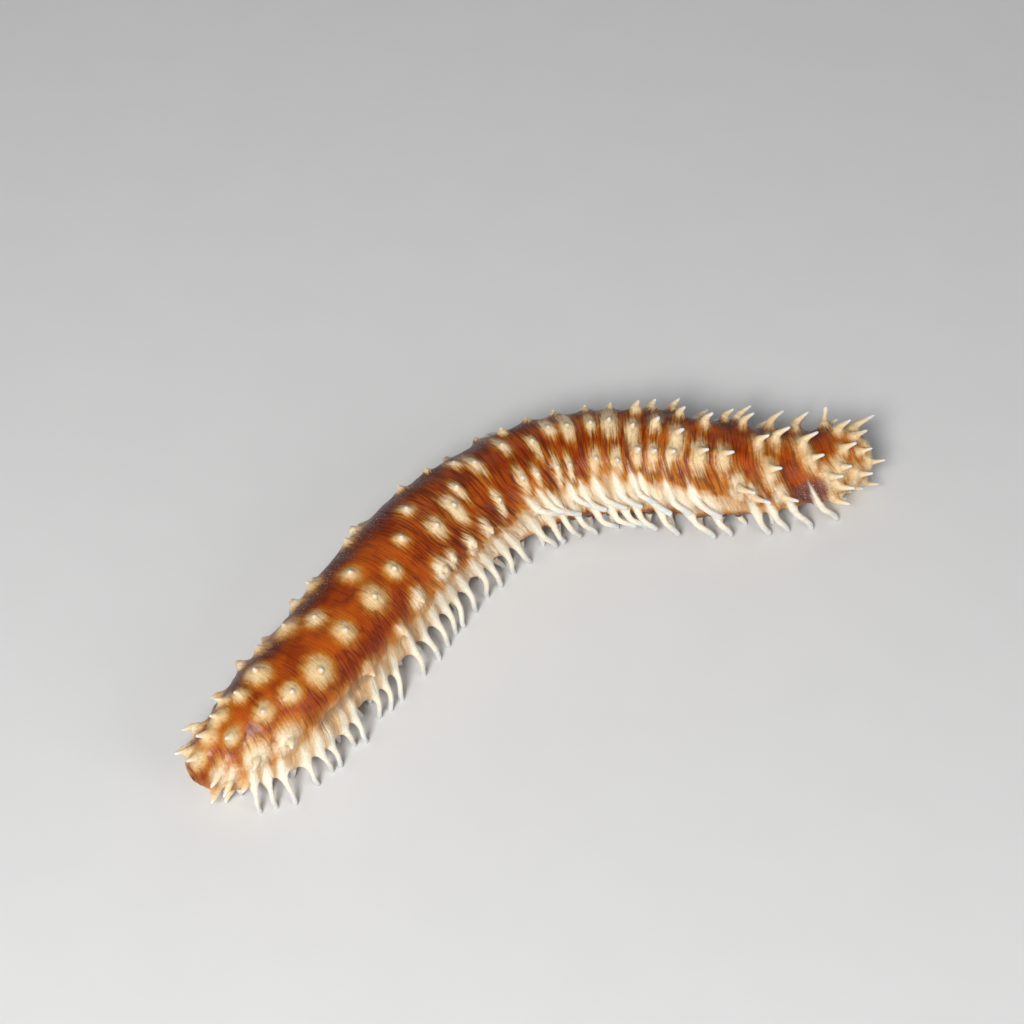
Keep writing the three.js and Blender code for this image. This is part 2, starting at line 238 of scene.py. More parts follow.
def papilla(at, degrees, height, lean=None, radii=None):
    at, arc, root, normal, forward = place_of(at, degrees)
    if lean is None:
        lean = PAPILLA_LEAN["vent"] * (1 - ramp(at, 4, 26)) + PAPILLA_LEAN["front"] * ramp(at, 108, 165)
        lean += PAPILLA_LEAN["mouth"] * ramp(at, 173, 181)
    tip = root + normal * height + forward * lean * height
    tip[2] -= FLANK_DROOP * height * (abs(degrees) > DROOPS_FROM) * (at < DROOPS_TO)
    tip[2] = max(tip[2], LOWEST_TIP)
    bend = (root - tip) * 0.3 - forward * 0.3 * lean * height
    radii = radii or (NUB_RADII if height < NUB_HEIGHT else PAPILLA_RADII)
    # A taller one draws the skin up further and over a wider ring
    tent, width = 0.2 + 0.3 * height, 1.35 + 0.2 * height
    start = normal * 0.25 * height
    add_growth("papilla", at, arc, start, bend, tip, radii, tent, (width, width, width), 0)


papilla(**TALL_PAPILLA, radii=TALL_RADII)
for row, (degrees, taller, places) in enumerate(PAPILLA_ROWS):
    for n, at in enumerate(places):
        height = papilla_height(at) * (1 + (taller - 1) * (1 - ramp(at, 140, 165)))
        papilla(at, degrees + 3 * vary(n, row), height * (1 + 0.25 * vary(n, row + 20)))
for kind, (at, count, height, first) in enumerate(END_RINGS):
    for n in range(count):
        degrees = (360 * n / count + first + 8 * vary(n, 65 + kind) + 180) % 360 - 180
        shorter_below = 0.8 + 0.2 * math.cos(math.radians(degrees))
        own_height = height * shorter_below * (1 + 0.4 * vary(n, 61 + kind))
        papilla(at + 0.8 * vary(n, 71 + kind), degrees, own_height)

# Tube feet
# Thin, hollow, white tubes of the same skin, each with a flat sucker at its end. The edge rows stand
# on the floor, a shorter row stands behind them, the upper rows hang free along the flank towards the
# mouth, and the sole's rows carry the middle of the body.
EDGE_FEET = {
    1: [9.5, 12, 14.6, 19, 21.6, 24.2, 28, 31, 38, 41, 45, 51, 56, 60, 64, 68, 72, 78, 82, 88, 92,
        99, 104, 108, 113, 119, 123, 126, 130, 136, 142, 147, 155.5, 158.8, 162.7, 168],
    -1: [12, 18, 24, 29, 33, 39, 43, 49, 56, 60, 66, 72, 78, 83, 88, 92, 99, 105, 111, 115,
         122, 128, 134, 138, 144, 150, 157, 165],
}
UPPER_FEET = {
    1: [99, 103, 106, 112, 116, 120, 125, 129, 132, 138, 143, 153],
    -1: [101, 109, 125, 147, 156],
}
# The angle of the edge rows in the vent half and in the mouth half, and that of the upper rows
EDGE_ANGLE = (104, 101)
UPPER_ANGLE = 78
# The radii from the root to the sucker, and how much thicker the feet are by the length of the body
FOOT_RADII = [1.15, 0.76, 0.69, 0.68, 0.67, 0.67, 0.72]
FREE_FOOT_RADII = [1.2, 0.84, 0.74, 0.7, 0.69, 0.69, 0.72]
FOOT_THICKNESS = [0.8, 0.85, 0.9, 0.95, 0.95, 1, 1, 1.05, 1.1, 1.1, 1.1]
# How far a foot's sucker stands out past the body, forward of its root and off the floor
FOOT_SPREAD = [3, 3.6, 2, 3.6, 3, 2.2, 1.6, -1.6, -0.6, 2.4, -6]
FOOT_LEAN = [-4.5, 0.9, -0.3, -0.8, 0.3, 2.2, 3, 4.6, 4.4, 3.8, 4]
FOOT_LIFT = [0, 0, 0, 0, 0, 0, 2, 3.2, 1.5, 0, 0]
FOOT_CURL = 1.2
EDGE_TENT = 1.4
EDGE_TENT_SPREAD = (1.15, 5, 1.2)
FREE_TENT = 1.2
FREE_TENT_SPREAD = (1.2, 4.5, 1.4)
# The ridge above a foot slants back towards the vent where the feet lean to the mouth
RIDGE_SLOPE = [0, 0, 0, 0.1, 0.45, 0.6, 0.5, 0.4, 0.4, 0.4, 0.4]
BACK_ROW = {"angle": 128, "first": 8, "last": 168, "step": 5.2}
BACK_RADII = [1.1, 0.8, 0.66, 0.6, 0.6]
SOLE_ROWS = [148, 164, 180, 196, 212]
SOLE_STEP = 8
SOLE_FIRST = 18
SOLE_END = LENGTH - 14
SOLE_RADII = [1.1, 0.72, 0.6, 0.74]
# How far the skin is drawn out at an edge foot's root, and how far past that it stands
DRAWN_OUT = 1.8
LEAST_OUT = 0.8


def start_of(way, normal):
    """The direction in which a foot leaves the skin, between square to it and straight to its tip."""
    start = 0.5 * normal + 0.5 * way / np.linalg.norm(way)
    return start / np.linalg.norm(start)


def standing_foot(at, degrees, out, lean, radii, tent, spread, slope=0, lift=0, curl=0):
    """Adds a foot whose sucker stands at a distance out from the middle line and forward by lean."""
    at, arc, root, normal, forward = place_of(at, degrees)
    raised = root
    if tent == EDGE_TENT:
        raised = root + normal * DRAWN_OUT
        least = abs(side_at(at).dot(raised - spine_point(at))) + LEAST_OUT
        out = math.copysign(max(abs(out), least), out)
    disc = spine_point(at) + side_at(at) * out + forward * lean
    disc[2] = lift
    start = start_of(disc - raised, normal) * 0.4 * root[2]
    drop = np.array((0, 0, min(0.4 * (root[2] - lift), 2.5)))
    add_growth("foot", at, arc, start, drop - curl * forward, disc, radii, tent, spread, slope)


def free_foot(at, degrees, reach, lean):
    """Adds a foot that hangs free of the floor, leaning towards the mouth."""
    at, arc, root, normal, forward = place_of(at, degrees)
    raised = root + normal * DRAWN_OUT
    tip = raised + normal * reach + forward * lean
    tip[2] = max(root[2] - 0.55 * lean, 1.5)
    start = start_of(tip - raised, normal) * 1.5
    bend = (raised - tip) * 0.35 + normal * 0.4
    slope = through(RIDGE_SLOPE, at / LENGTH)
    radii = [radius * through(FOOT_THICKNESS, at / LENGTH) for radius in FREE_FOOT_RADII]
    add_growth("foot", at, arc, start, bend, tip, radii, FREE_TENT, FREE_TENT_SPREAD, slope)


for side in (1, -1):
    for n, at in enumerate(EDGE_FEET[side]):
        place = np.array(float(at))
        degrees = EDGE_ANGLE[0] + (EDGE_ANGLE[1] - EDGE_ANGLE[0]) * ramp(at, 90, 130) + 3 * vary(n, 41)
        out = half_width(place) + through(FOOT_SPREAD, place / LENGTH) + 1.3 * vary(n, 42)
        lean = through(FOOT_LEAN, place / LENGTH) + 1.3 * vary(n, 43 + side)
        slope = through(RIDGE_SLOPE, place / LENGTH)
        radii = [radius * through(FOOT_THICKNESS, place / LENGTH) for radius in FOOT_RADII]
        lift = max(0, through(FOOT_LIFT, place / LENGTH) * (1 + 0.4 * vary(n, 45)))
        curl = FOOT_CURL * (0.6 + vary(n, 46))
        standing_foot(at, side * degrees, side * out, lean, radii, EDGE_TENT, EDGE_TENT_SPREAD, slope,
                      lift, curl)
    for n, at in enumerate(UPPER_FEET[side]):
        degrees = UPPER_ANGLE + 8 * vary(n, 51)
        free_foot(at, side * degrees, 1 + 0.5 * vary(n, 52), 4.8 + vary(n, 53 + side))
    count = round((BACK_ROW["last"] - BACK_ROW["first"]) / BACK_ROW["step"])
    for n in range(count):
        at = BACK_ROW["first"] + BACK_ROW["step"] * (n + 0.3 * vary(n, 71 + side))
        out = half_width(np.array(at)) - 1.2 + 1.2 * vary(n, 73 + side)
        standing_foot(at, side * BACK_ROW["angle"], side * out, 1 + 1.5 * vary(n, 75), BACK_RADII, 0.5,
                      (1.2, 1.4, 1.2))
for row, degrees in enumerate(SOLE_ROWS):
    at = SOLE_FIRST + (row % 2) * SOLE_STEP / 2
    while at < SOLE_END:
        turn = math.radians(degrees)
        out = half_width(np.array(float(at))) * math.sin(turn)
        degrees_here = degrees if degrees <= 180 else degrees - 360
        standing_foot(at, degrees_here, out + 0.5 * vary(at, row), 0, SOLE_RADII, 0.3, (1.2, 1.2, 1.2))
        at += SOLE_STEP


# The skin
# All of the outside is this one piece: the wall, its papillae and its tube feet. A cage of rings is
# drawn up into a tent round every root, its faces are drawn out into papillae and feet, and then the
# whole is rounded, folded and lumped as soft flesh is.
RINGS = 190
AROUND = 52
# The rings that turn in at the two ends, each a distance from the vent and a radius
VENT_FUNNEL = [(-0.3, 1.45), (0.1, 1.0), (0.9, 0.7), (1.9, 0.4)]
MOUTH_LIP = [(LENGTH + 0.45, 4.2), (LENGTH + 0.35, 3.85), (LENGTH - 0.9, 3.7), (LENGTH - 1.5, 3.3)]
MOST_DRAWN_UP = 2.6
# The low ridge along the edge of the sole
FLANGE = {"angle": math.radians(101), "height": 0.6, "half_width": 2.4}


def drawn_up(at, arc):
    """How far the skin is drawn up round the roots of what grows from it."""
    whole = WHOLE_ROUND * half_width(at)
    rise = np.zeros(np.shape(at))
    for one in growths:
        uphill = -math.copysign(1, one.arc) * wrapped(arc - one.arc, whole)
        along = (at - one.at + one.slope * np.maximum(uphill, 0)) / one.spread[0]
        around = uphill / np.where(uphill > 0, one.spread[1], one.spread[2])
        rise = rise + one.tent * np.exp(-(along**2) - around**2)
    from_edge = (np.abs(wrapped(arc, whole)) - arc_at(at, FLANGE["angle"])) / FLANGE["half_width"]
    flange = FLANGE["height"] * np.exp(-(from_edge**2)) * ramp(at, 4, 14) * (1 - ramp(at, 158, 174))
    return MOST_DRAWN_UP * np.tanh((rise + flange) / MOST_DRAWN_UP)


def wall_point(at, arc):
    return skin_point(at, arc) + skin_normal(at, arc) * drawn_up(at, arc)[..., None]


def funnel_ring(at, radius):
    """A ring of the cage round the middle of the body, at or past one of its ends."""
    inside = np.array(float(np.clip(at, 0, LENGTH)))
    middle = spine_point(inside) + forward_at(inside) * (at - inside)
    middle[2] = middle_height(inside)
    turns = np.interp(shares * WHOLE_ROUND, ROUND, TURNS)
    return [middle + radius * (side_at(inside) * math.sin(turn) + np.array((0, 0, math.cos(turn))))
            for turn in turns]


def draw_out(rim, places):
    """Extrudes an open rim of the cage to its next ring, and returns that ring in the same order."""
    edges = [bm.edges.get((rim[n - 1], rim[n])) for n in range(len(rim))]
    drawn = set(bmesh.ops.extrude_edge_only(bm, edges=edges)["geom"])
    rim = [next(edge.other_vert(vert) for edge in vert.link_edges if edge.other_vert(vert) in drawn)
           for vert in rim]
    for vert, place in zip(rim, places):
        vert.co = place
    return rim


def close_end(rim, rings):
    """Turns an open rim in through the rings and closes it in its middle."""
    for at, radius in rings:
        rim = draw_out(rim, funnel_ring(at, radius))
    rim = draw_out(rim, funnel_ring(at, 0.5 * radius))
    bmesh.ops.pointmerge(bm, verts=rim, merge_co=sum((vert.co for vert in rim), Vector()) / len(rim))


# Each growth takes a free block of two by two of the cage's cells, with no corner in another block.
# The block's corners are laid in a ring round its root.
stations = np.linspace(0, LENGTH, RINGS + 1)
shares = np.arange(AROUND) / AROUND - 0.5
at_grid, share_grid = np.meshgrid(stations, shares, indexing="ij")
arc_grid = share_grid * WHOLE_ROUND * half_width(at_grid)
out_grid = np.zeros(at_grid.shape)
swing_grid = np.zeros(at_grid.shape)
CORNERS = [(m, n) for m in (-1, 0, 1) for n in (-1, 0, 1)]
SHIFTS = sorted(((i, j) for i in range(-3, 4) for j in range(-2, 3)),
                key=lambda shift: math.hypot(*shift))
EVENING_ROUNDS = 30
taken = set()


def free_block(one):
    """Takes the free block nearest to a growth's root, and gives the place of its middle corner."""
    cell = WHOLE_ROUND * float(half_width(one.at)) / AROUND
    middle = (round(one.at / LENGTH * RINGS), round(one.arc / cell + AROUND / 2))
    for shift in SHIFTS:
        i, j = middle[0] + shift[0], middle[1] + shift[1]
        corners = {(i + m, (j + n) % AROUND) for m, n in CORNERS}
        if 1 <= i < RINGS and not corners & taken:
            taken.update(corners)
            return i, j % AROUND
    return None


blocks = []
for one in growths:
    found = free_block(one)
    if found is None:
        continue
    i, j = found
    blocks.append((one, i, j))
    for m, n in CORNERS:
        corner = i + m, (j + n) % AROUND
        out_grid[corner] = max(abs(m), abs(n))
        swing_grid[corner] = math.atan2(n, m)
        reach = one.radii[0] * out_grid[corner]
        at_grid[corner] = np.clip(one.at + reach * math.cos(swing_grid[corner]), 0, LENGTH)
        arc_grid[corner] = one.arc + reach * math.sin(swing_grid[corner])

# The cells between the blocks are evened out, so that none is folded or crushed
laid = out_grid > 0
laid[[0, -1]] = True
for _, i, j in blocks:
    laid[i, j] = True
at_shift = at_grid - stations[:, None]
share_shift = wrapped(arc_grid / (WHOLE_ROUND * half_width(at_grid)) - shares, 1)
for _ in range(EVENING_ROUNDS):
    for shift in (at_shift, share_shift):
        near = np.roll(shift, 1, 0) + np.roll(shift, -1, 0) + np.roll(shift, 1, 1) + np.roll(shift, -1, 1)
        shift[~laid] = near[~laid] / 4
at_grid = np.clip(stations[:, None] + at_shift, 0, LENGTH)
arc_grid = wrapped(shares + share_shift, 1) * WHOLE_ROUND * half_width(at_grid)
wall_grid = wall_point(at_grid, arc_grid)
turn_grid = np.interp(wrapped(arc_grid / half_width(at_grid), WHOLE_ROUND), ROUND, TURNS)

# The cage, drawn out ring by ring from the vent to the mouth
bm = bmesh.new()
LAYERS = {name: bm.verts.layers.float.new(name) for name in ("at", "inward", "upward", "foot", "papilla")}
out_layer = bm.verts.layers.float.new("out")
swing_layer = bm.verts.layers.float.new("swing")
bmesh.ops.create_circle(bm, cap_ends=False, radius=GIRTH, segments=AROUND)
grid = [list(bm.verts)]
for vert, place in zip(grid[0], wall_grid[0]):
    vert.co = place
for places in wall_grid[1:]:
    grid.append(draw_out(grid[-1], places))
for k, ring in enumerate(grid):
    for j, vert in enumerate(ring):
        vert[LAYERS["at"]] = at_grid[k, j]
        vert[LAYERS["inward"]] = math.sin(turn_grid[k, j])
        vert[LAYERS["upward"]] = math.cos(turn_grid[k, j])
        vert[out_layer] = out_grid[k, j]
        vert[swing_layer] = swing_grid[k, j]
close_end(grid[0], VENT_FUNNEL)
close_end(grid[-1], MOUTH_LIP)


def bezier(points, t):
    """The place on a growth's curve at a share of its way."""
    a, b, c, d = points
    return a * (1 - t) ** 3 + 3 * b * t * (1 - t) ** 2 + 3 * c * t * t * (1 - t) + d * t**3


def heading(points, t):
    """The direction of a growth's curve there."""
    a, b, c, d = points
    way = (b - a) * (1 - t) ** 2 + 2 * (c - b) * t * (1 - t) + (d - c) * t * t
    return way / np.linalg.norm(way)


# The last two rings of a foot stand close together, so that its sucker is blunt: the curve ends this
# many rings before the last one, and the papillae's one ring before it
BLUNT_END = 1.2


def grow(one, i, j, root):
    """Draws the four cells round a corner of the cage out along the growth's curve, ring by ring."""
    faces = list(grid[i][j].link_faces)
    place = {name: grid[i][j][LAYERS[name]] for name in ("at", "inward", "upward")}
    curve = (root, root + one.start, one.tip + one.bend, one.tip)
    forward = forward_at(one.at)
    steps = len(one.radii) - (BLUNT_END if one.kind == "foot" else 1)
    for step, radius in enumerate(one.radii[1:], 1):
        t = min(step / steps, 1)
        drawn = bmesh.ops.extrude_face_region(bm, geom=faces)["geom"]
        bmesh.ops.delete(bm, geom=faces, context="FACES")
        faces = [part for part in drawn if isinstance(part, bmesh.types.BMFace)]
        middle, along = bezier(curve, t), heading(curve, t)
        first = forward - along * forward.dot(along)
        first = first / np.linalg.norm(first)
        second = np.cross(first, along)
        for vert in (part for part in drawn if isinstance(part, bmesh.types.BMVert)):
            out, swing = vert[out_layer], vert[swing_layer]
            vert.co = middle + radius * out * (math.cos(swing) * first + math.sin(swing) * second)
            vert[LAYERS[one.kind]] = t
            for name in ("at", "inward", "upward"):
                vert[LAYERS[name]] = place[name]


roots = wall_point(np.array([one.at for one in growths]), np.array([one.arc for one in growths]))
root_of = dict(zip(map(id, growths), roots))
for one, i, j in blocks:
    grow(one, i, j, root_of[id(one)])
bmesh.ops.recalc_face_normals(bm, faces=bm.faces)
for face in bm.faces:
    face.smooth = True
cage = bpy.data.meshes.new("cage")
bm.to_mesh(cage)
bm.free()
skin = bpy.data.objects.new("skin", cage)
bpy.context.scene.collection.objects.link(skin)
rounded = skin.modifiers.new("rounded", "SUBSURF")
rounded.levels = rounded.render_levels = 1
skin.data = bpy.data.meshes.new_from_object(skin.evaluated_get(bpy.context.evaluated_depsgraph_get()))
skin.modifiers.clear()
skin.data.name = "skin"


def read(mesh, name):
    values = np.zeros(len(mesh.vertices))
    mesh.attributes[name].data.foreach_get("value", values)
    return values


def write(mesh, name, values):
    kind, key = ("FLOAT_VECTOR", "vector") if values.ndim > 1 else ("FLOAT", "value")
    layer = mesh.attributes.get(name) or mesh.attributes.new(name, kind, "POINT")
    layer.data.foreach_set(key, np.ascontiguousarray(values, np.float32).ravel())


# laid_out is the skin's place on a straightened body, slanted with the ridges below this angle
SLANTS_FROM = 35
mesh = skin.data
places = np.zeros(len(mesh.vertices) * 3)
mesh.vertices.foreach_get("co", places)
places = places.reshape(-1, 3)
at, inward, upward, foot = (read(mesh, name) for name in ("at", "inward", "upward", "foot"))
turn = np.arctan2(inward, upward)
arc = arc_at(at, turn)
side = np.sum((places - spine_point(at)) * side_at(at), axis=1)
below_back = np.maximum(np.abs(arc) - arc_at(at, math.radians(SLANTS_FROM)), 0)
slant = through(RIDGE_SLOPE, at / LENGTH) * below_back
laid_out = np.stack([at - slant, side, places[:, 2]], -1)
on_wall = np.stack([laid_out[:, 0], half_width(at) * np.sin(turn), half_width(at) * lift_at(turn)], -1)
turn = np.degrees(turn)


def noise_at(points, pitch):
    """Soft noise, about -1 to 1, at points whose three directions each have a pitch in mm."""
    return np.array([noise.noise(Vector(point)) for point in points / np.asarray(pitch)])


# The skin's markings: soft cream spots round the papillae, drawn out round the body in the front half
# into bands, and a white band along each flank where the tube feet stand, between two angles. spot is
# the distance from the nearest papilla, counted in the size of its spot.
FAR_FROM_SPOTS = 9.0
SPOT_ALONG = [2.2, 2.6, 2.7, 2.3, 2.2, 1.6, 1.5, 1.7, 2.1, 2.2, 2.7]
SPOT_AROUND = [2.2, 2.7, 2.9, 2.5, 2.7, 3.3, 3.2, 3.3, 3.6, 3.2, 2.7]
RUN_DOWN = [0, 0, 0, 0.1, 0.3, 0.6, 0.9, 0.9, 0.5, 0.3, 0]
BAND_TOP = [120, 72, 70, 76, 76, 70, 60, 57, 72, 104, 120]
BAND_FOOT = [112, 112, 112, 112, 112, 107, 101, 99, 101, 104, 112]
SMALLER_BEHIND = 0.3
RUN_DOWN_FLANK = 0.5
MAUVE_PATCH = {"at": 166.5, "turn": 82, "along": 4.5, "around": 28}
spot = np.full(len(at), FAR_FROM_SPOTS)
for n, one in enumerate(growths):
    if one.kind == "papilla":
        end = ramp(one.at, 0, 8) * (1 - ramp(one.at, 170, 178))
        behind = ramp(-one.arc / half_width(one.at), 0.1, 0.7)
        behind = behind * ramp(one.at, 50, 90) * (1 - ramp(one.at, 165, 174))
        size = (0.8 + 0.2 * end) * (1 + 0.2 * vary(n, 81)) * (1 - SMALLER_BEHIND * behind)
        along = size * through(SPOT_ALONG, one.at / LENGTH)
        around = size * through(SPOT_AROUND, one.at / LENGTH) * (1 + 0.15 * vary(n, 82))
        downhill = math.copysign(1, one.arc) * (arc - one.arc) > 0
        on_flank = ramp(abs(one.arc) / half_width(one.at), 0.8, 1.1)
        run_down = 1 + downhill * (through(RUN_DOWN, one.at / LENGTH) + RUN_DOWN_FLANK * on_flank)
        faint = 0.15 + 0.15 * vary(n, 83)
        away = np.hypot((at - one.at) / along, (arc - one.arc) / around / run_down)
        spot = np.minimum(spot, faint + away)

# Folds run round the body, deepest where the bend presses the wall together, and slant on the inner
# flank with the ridges above the feet
LUMP = {"depth": 0.3, "pitch": (8, 7, 7)}
FOLD = {"depth": 0.22, "pitch": (1.7, 12, 12)}
FINE_FOLD = {"depth": 0.09, "pitch": (0.8, 5, 5)}
PLEAT = {"depth": 0.45, "pitch": (1.9, 14, 14)}
CUSHION = 0.3
# Hollows lie behind the first feet's roots, and their brown colour is painted shade
FLANK_HOLLOW = {"depth": 0.9, "from": 14, "to": 48, "angle": math.radians(80), "half_width": 1.7,
                "pitch": (5, 30, 30)}
pressed = 0.4 + 0.6 * ramp(at, 48, 80) * (1 - ramp(at, 135, 160)) * ramp(turn, -70, 40)
flank = ramp(np.abs(turn), 45, 75) * (1 - ramp(np.abs(turn), 112, 125))
hollow = np.exp(-(((arc - arc_at(at, FLANK_HOLLOW["angle"])) / FLANK_HOLLOW["half_width"]) ** 2))
hollow = hollow * ramp(at, FLANK_HOLLOW["from"], 22) * (1 - ramp(at, 36, FLANK_HOLLOW["to"]))
hollow = hollow * (0.25 + 0.75 * ramp(noise_at(on_wall, FLANK_HOLLOW["pitch"]), -0.25, 0.15))
relief = LUMP["depth"] * noise_at(on_wall, LUMP["pitch"])
relief = relief + FOLD["depth"] * pressed * noise_at(on_wall, FOLD["pitch"])
relief = relief + FINE_FOLD["depth"] * pressed * noise_at(on_wall, FINE_FOLD["pitch"])
relief = relief + PLEAT["depth"] * flank * noise_at(on_wall + (40, 0, 0), PLEAT["pitch"])
relief = relief + CUSHION * (1 - ramp(spot, 0.4, 1.3))
relief = (relief - FLANK_HOLLOW["depth"] * hollow) * (1 - ramp(foot, 0, 0.8))
places = places + skin_normal(at, arc) * relief[:, None]
mesh.vertices.foreach_set("co", (places * MM).ravel())
mesh.update()

turn_size = np.abs(turn)
degree = half_width(at) * math.radians(1)
below_top = turn_size - through(BAND_TOP, at / LENGTH)
above_foot = through(BAND_FOOT, at / LENGTH) - turn_size
band = np.minimum(below_top, 2 * above_foot) * degree
web = np.zeros(len(at))
for one in growths:
    if one.kind == "foot" and one.tent > 1:
        uphill = -math.copysign(1, one.arc) * (arc - one.arc)
        along = (at - one.at + one.slope * np.maximum(uphill, 0)) / one.spread[0]
        around = uphill / np.where(uphill > 0, 1.2 * one.spread[1], one.spread[2])
        web = np.maximum(web, np.exp(-(along**2) - around**2))
# The back's side away from the bend and the light has painted shade, one patch near the mouth is mauve,
# the flank's spots are pale, and the folds' dark lines show where the bend presses them together
far_side_shade = ramp(-turn, -10, 55) * (0.6 + 0.4 * ramp(at, 0, 12))
mauve = np.exp(-(((at - MAUVE_PATCH["at"]) / MAUVE_PATCH["along"]) ** 2)
               - ((turn - MAUVE_PATCH["turn"]) / MAUVE_PATCH["around"]) ** 2)
pale = ramp(turn_size, 42, 62) * (1 - ramp(at, 160, 172))
folded = 0.25 + 0.75 * ramp(at, 45, 75) * (1 - 0.5 * ramp(at, 135, 160))
marks = {"spot": spot, "band": band, "web": web, "far_side_shade": far_side_shade, "hollow": hollow, "folded": folded,
         "mauve": mauve, "pale": pale, "laid_out": laid_out}
for name, values in marks.items():
    write(mesh, name, values)
for name in ("at", "inward", "upward", "out", "swing"):
    mesh.attributes.remove(mesh.attributes[name])


def node(tree, kind, inputs=(), **settings):
    """Adds a shader node, sets its inputs to values or feeds them from outputs, and gives its outputs."""
    made = tree.nodes.new("ShaderNode" + kind)
    for key, value in settings.items():
        setattr(made, key, value)
    for socket, value in dict(inputs).items():
        if isinstance(value, bpy.types.NodeSocket):
            tree.links.new(value, made.inputs[socket])
        else:
            made.inputs[socket].default_value = value
    return made.outputs


def measure(tree, name):
    """A measure that the mesh carries, such as the distance from the nearest papilla."""
    return node(tree, "Attribute", attribute_name=name)


def share_of(tree, value, low, high, top=1.0):
    """0 at low, rising smoothly to top at high."""
    settings = {"Value": value, "From Min": low, "From Max": high, "To Min": 0.0, "To Max": top}
    return node(tree, "MapRange", settings, interpolation_type="SMOOTHSTEP")["Result"]


def maths(tree, operation, a, b):
    return node(tree, "Math", {0: a, 1: b}, operation=operation)[0]


def dyed(tree, share, under, over):
    """The under colour, with this share of it dyed over."""
    return node(tree, "Mix", {0: share, 6: under, 7: over}, data_type="RGBA")[2]


def grain(tree, place, pitch, detail=2.0, roughness=0.5):
    """Noise, 0 to 1, with a pitch in mm along the body, across it and up it."""
    scaled = node(tree, "VectorMath", {0: place, 1: [1 / size for size in pitch]}, operation="MULTIPLY")[0]
    noise_inputs = {"Vector": scaled, "Scale": 1.0, "Detail": detail, "Roughness": roughness}
    return node(tree, "TexNoise", noise_inputs)[0]


RUST = (0.30, 0.036, 0.0, 1)
BRIGHT_RUST = (0.49, 0.088, 0.002, 1)
DARK_RUST_AND_SHADE = (0.08, 0.009, 0.001, 1)
FAR_SIDE_SHADE = (0.055, 0.010, 0.006, 1)
MAUVE = (0.20, 0.066, 0.052, 1)
HALO = (0.60, 0.24, 0.025, 1)
CREAM = (0.89, 0.68, 0.40, 1)
SPOT_TAN = (0.81, 0.58, 0.30, 1)
BAND_TAN = (0.80, 0.58, 0.33, 1)
BAND_WHITE = (0.95, 0.81, 0.58, 1)
ROOT_WHITE = (0.95, 0.87, 0.70, 1)
RIDGE_GAP_SHADE = (0.42, 0.19, 0.06, 1)
HOLLOW_SHADE = (0.27, 0.14, 0.075, 1)
SOLE_BROWN_AND_SHADE = (0.17, 0.066, 0.026, 1)
NUB_FOOT_SHADE = (0.45, 0.34, 0.22, 1)
TIP_WHITE = (0.82, 0.82, 0.78, 1)
FOOT_CREAM = (0.93, 0.85, 0.69, 1)
FOOT_CLEAR = (0.76, 0.77, 0.75, 1)
SPECK_AND_GLINT = (0.72, 0.60, 0.52, 1)
SHEEN_ROUGHNESS = (0.28, 0.5)
BUMP_DEPTH = 0.0004
# Where each colour of the skin starts and is full: the spots' two by the distance from the papilla, the
# band's two by the millimetres inside its edge
SPOT_HALO_EDGE = (1.75, 0.85)
SPOT_EDGE = (1.3, 0.45)
BAND_HALO_EDGE = (-4.0, 2.0)
BAND_EDGE = (0.0, 3.8)
SOLE_EDGE = (7.0, 4.0)
FAR_SIDE_SHADE_EDGE = (0.1, 0.95)
MAUVE_EDGE = (0.3, 0.75)
WEB_EDGE = (0.3, 0.85)


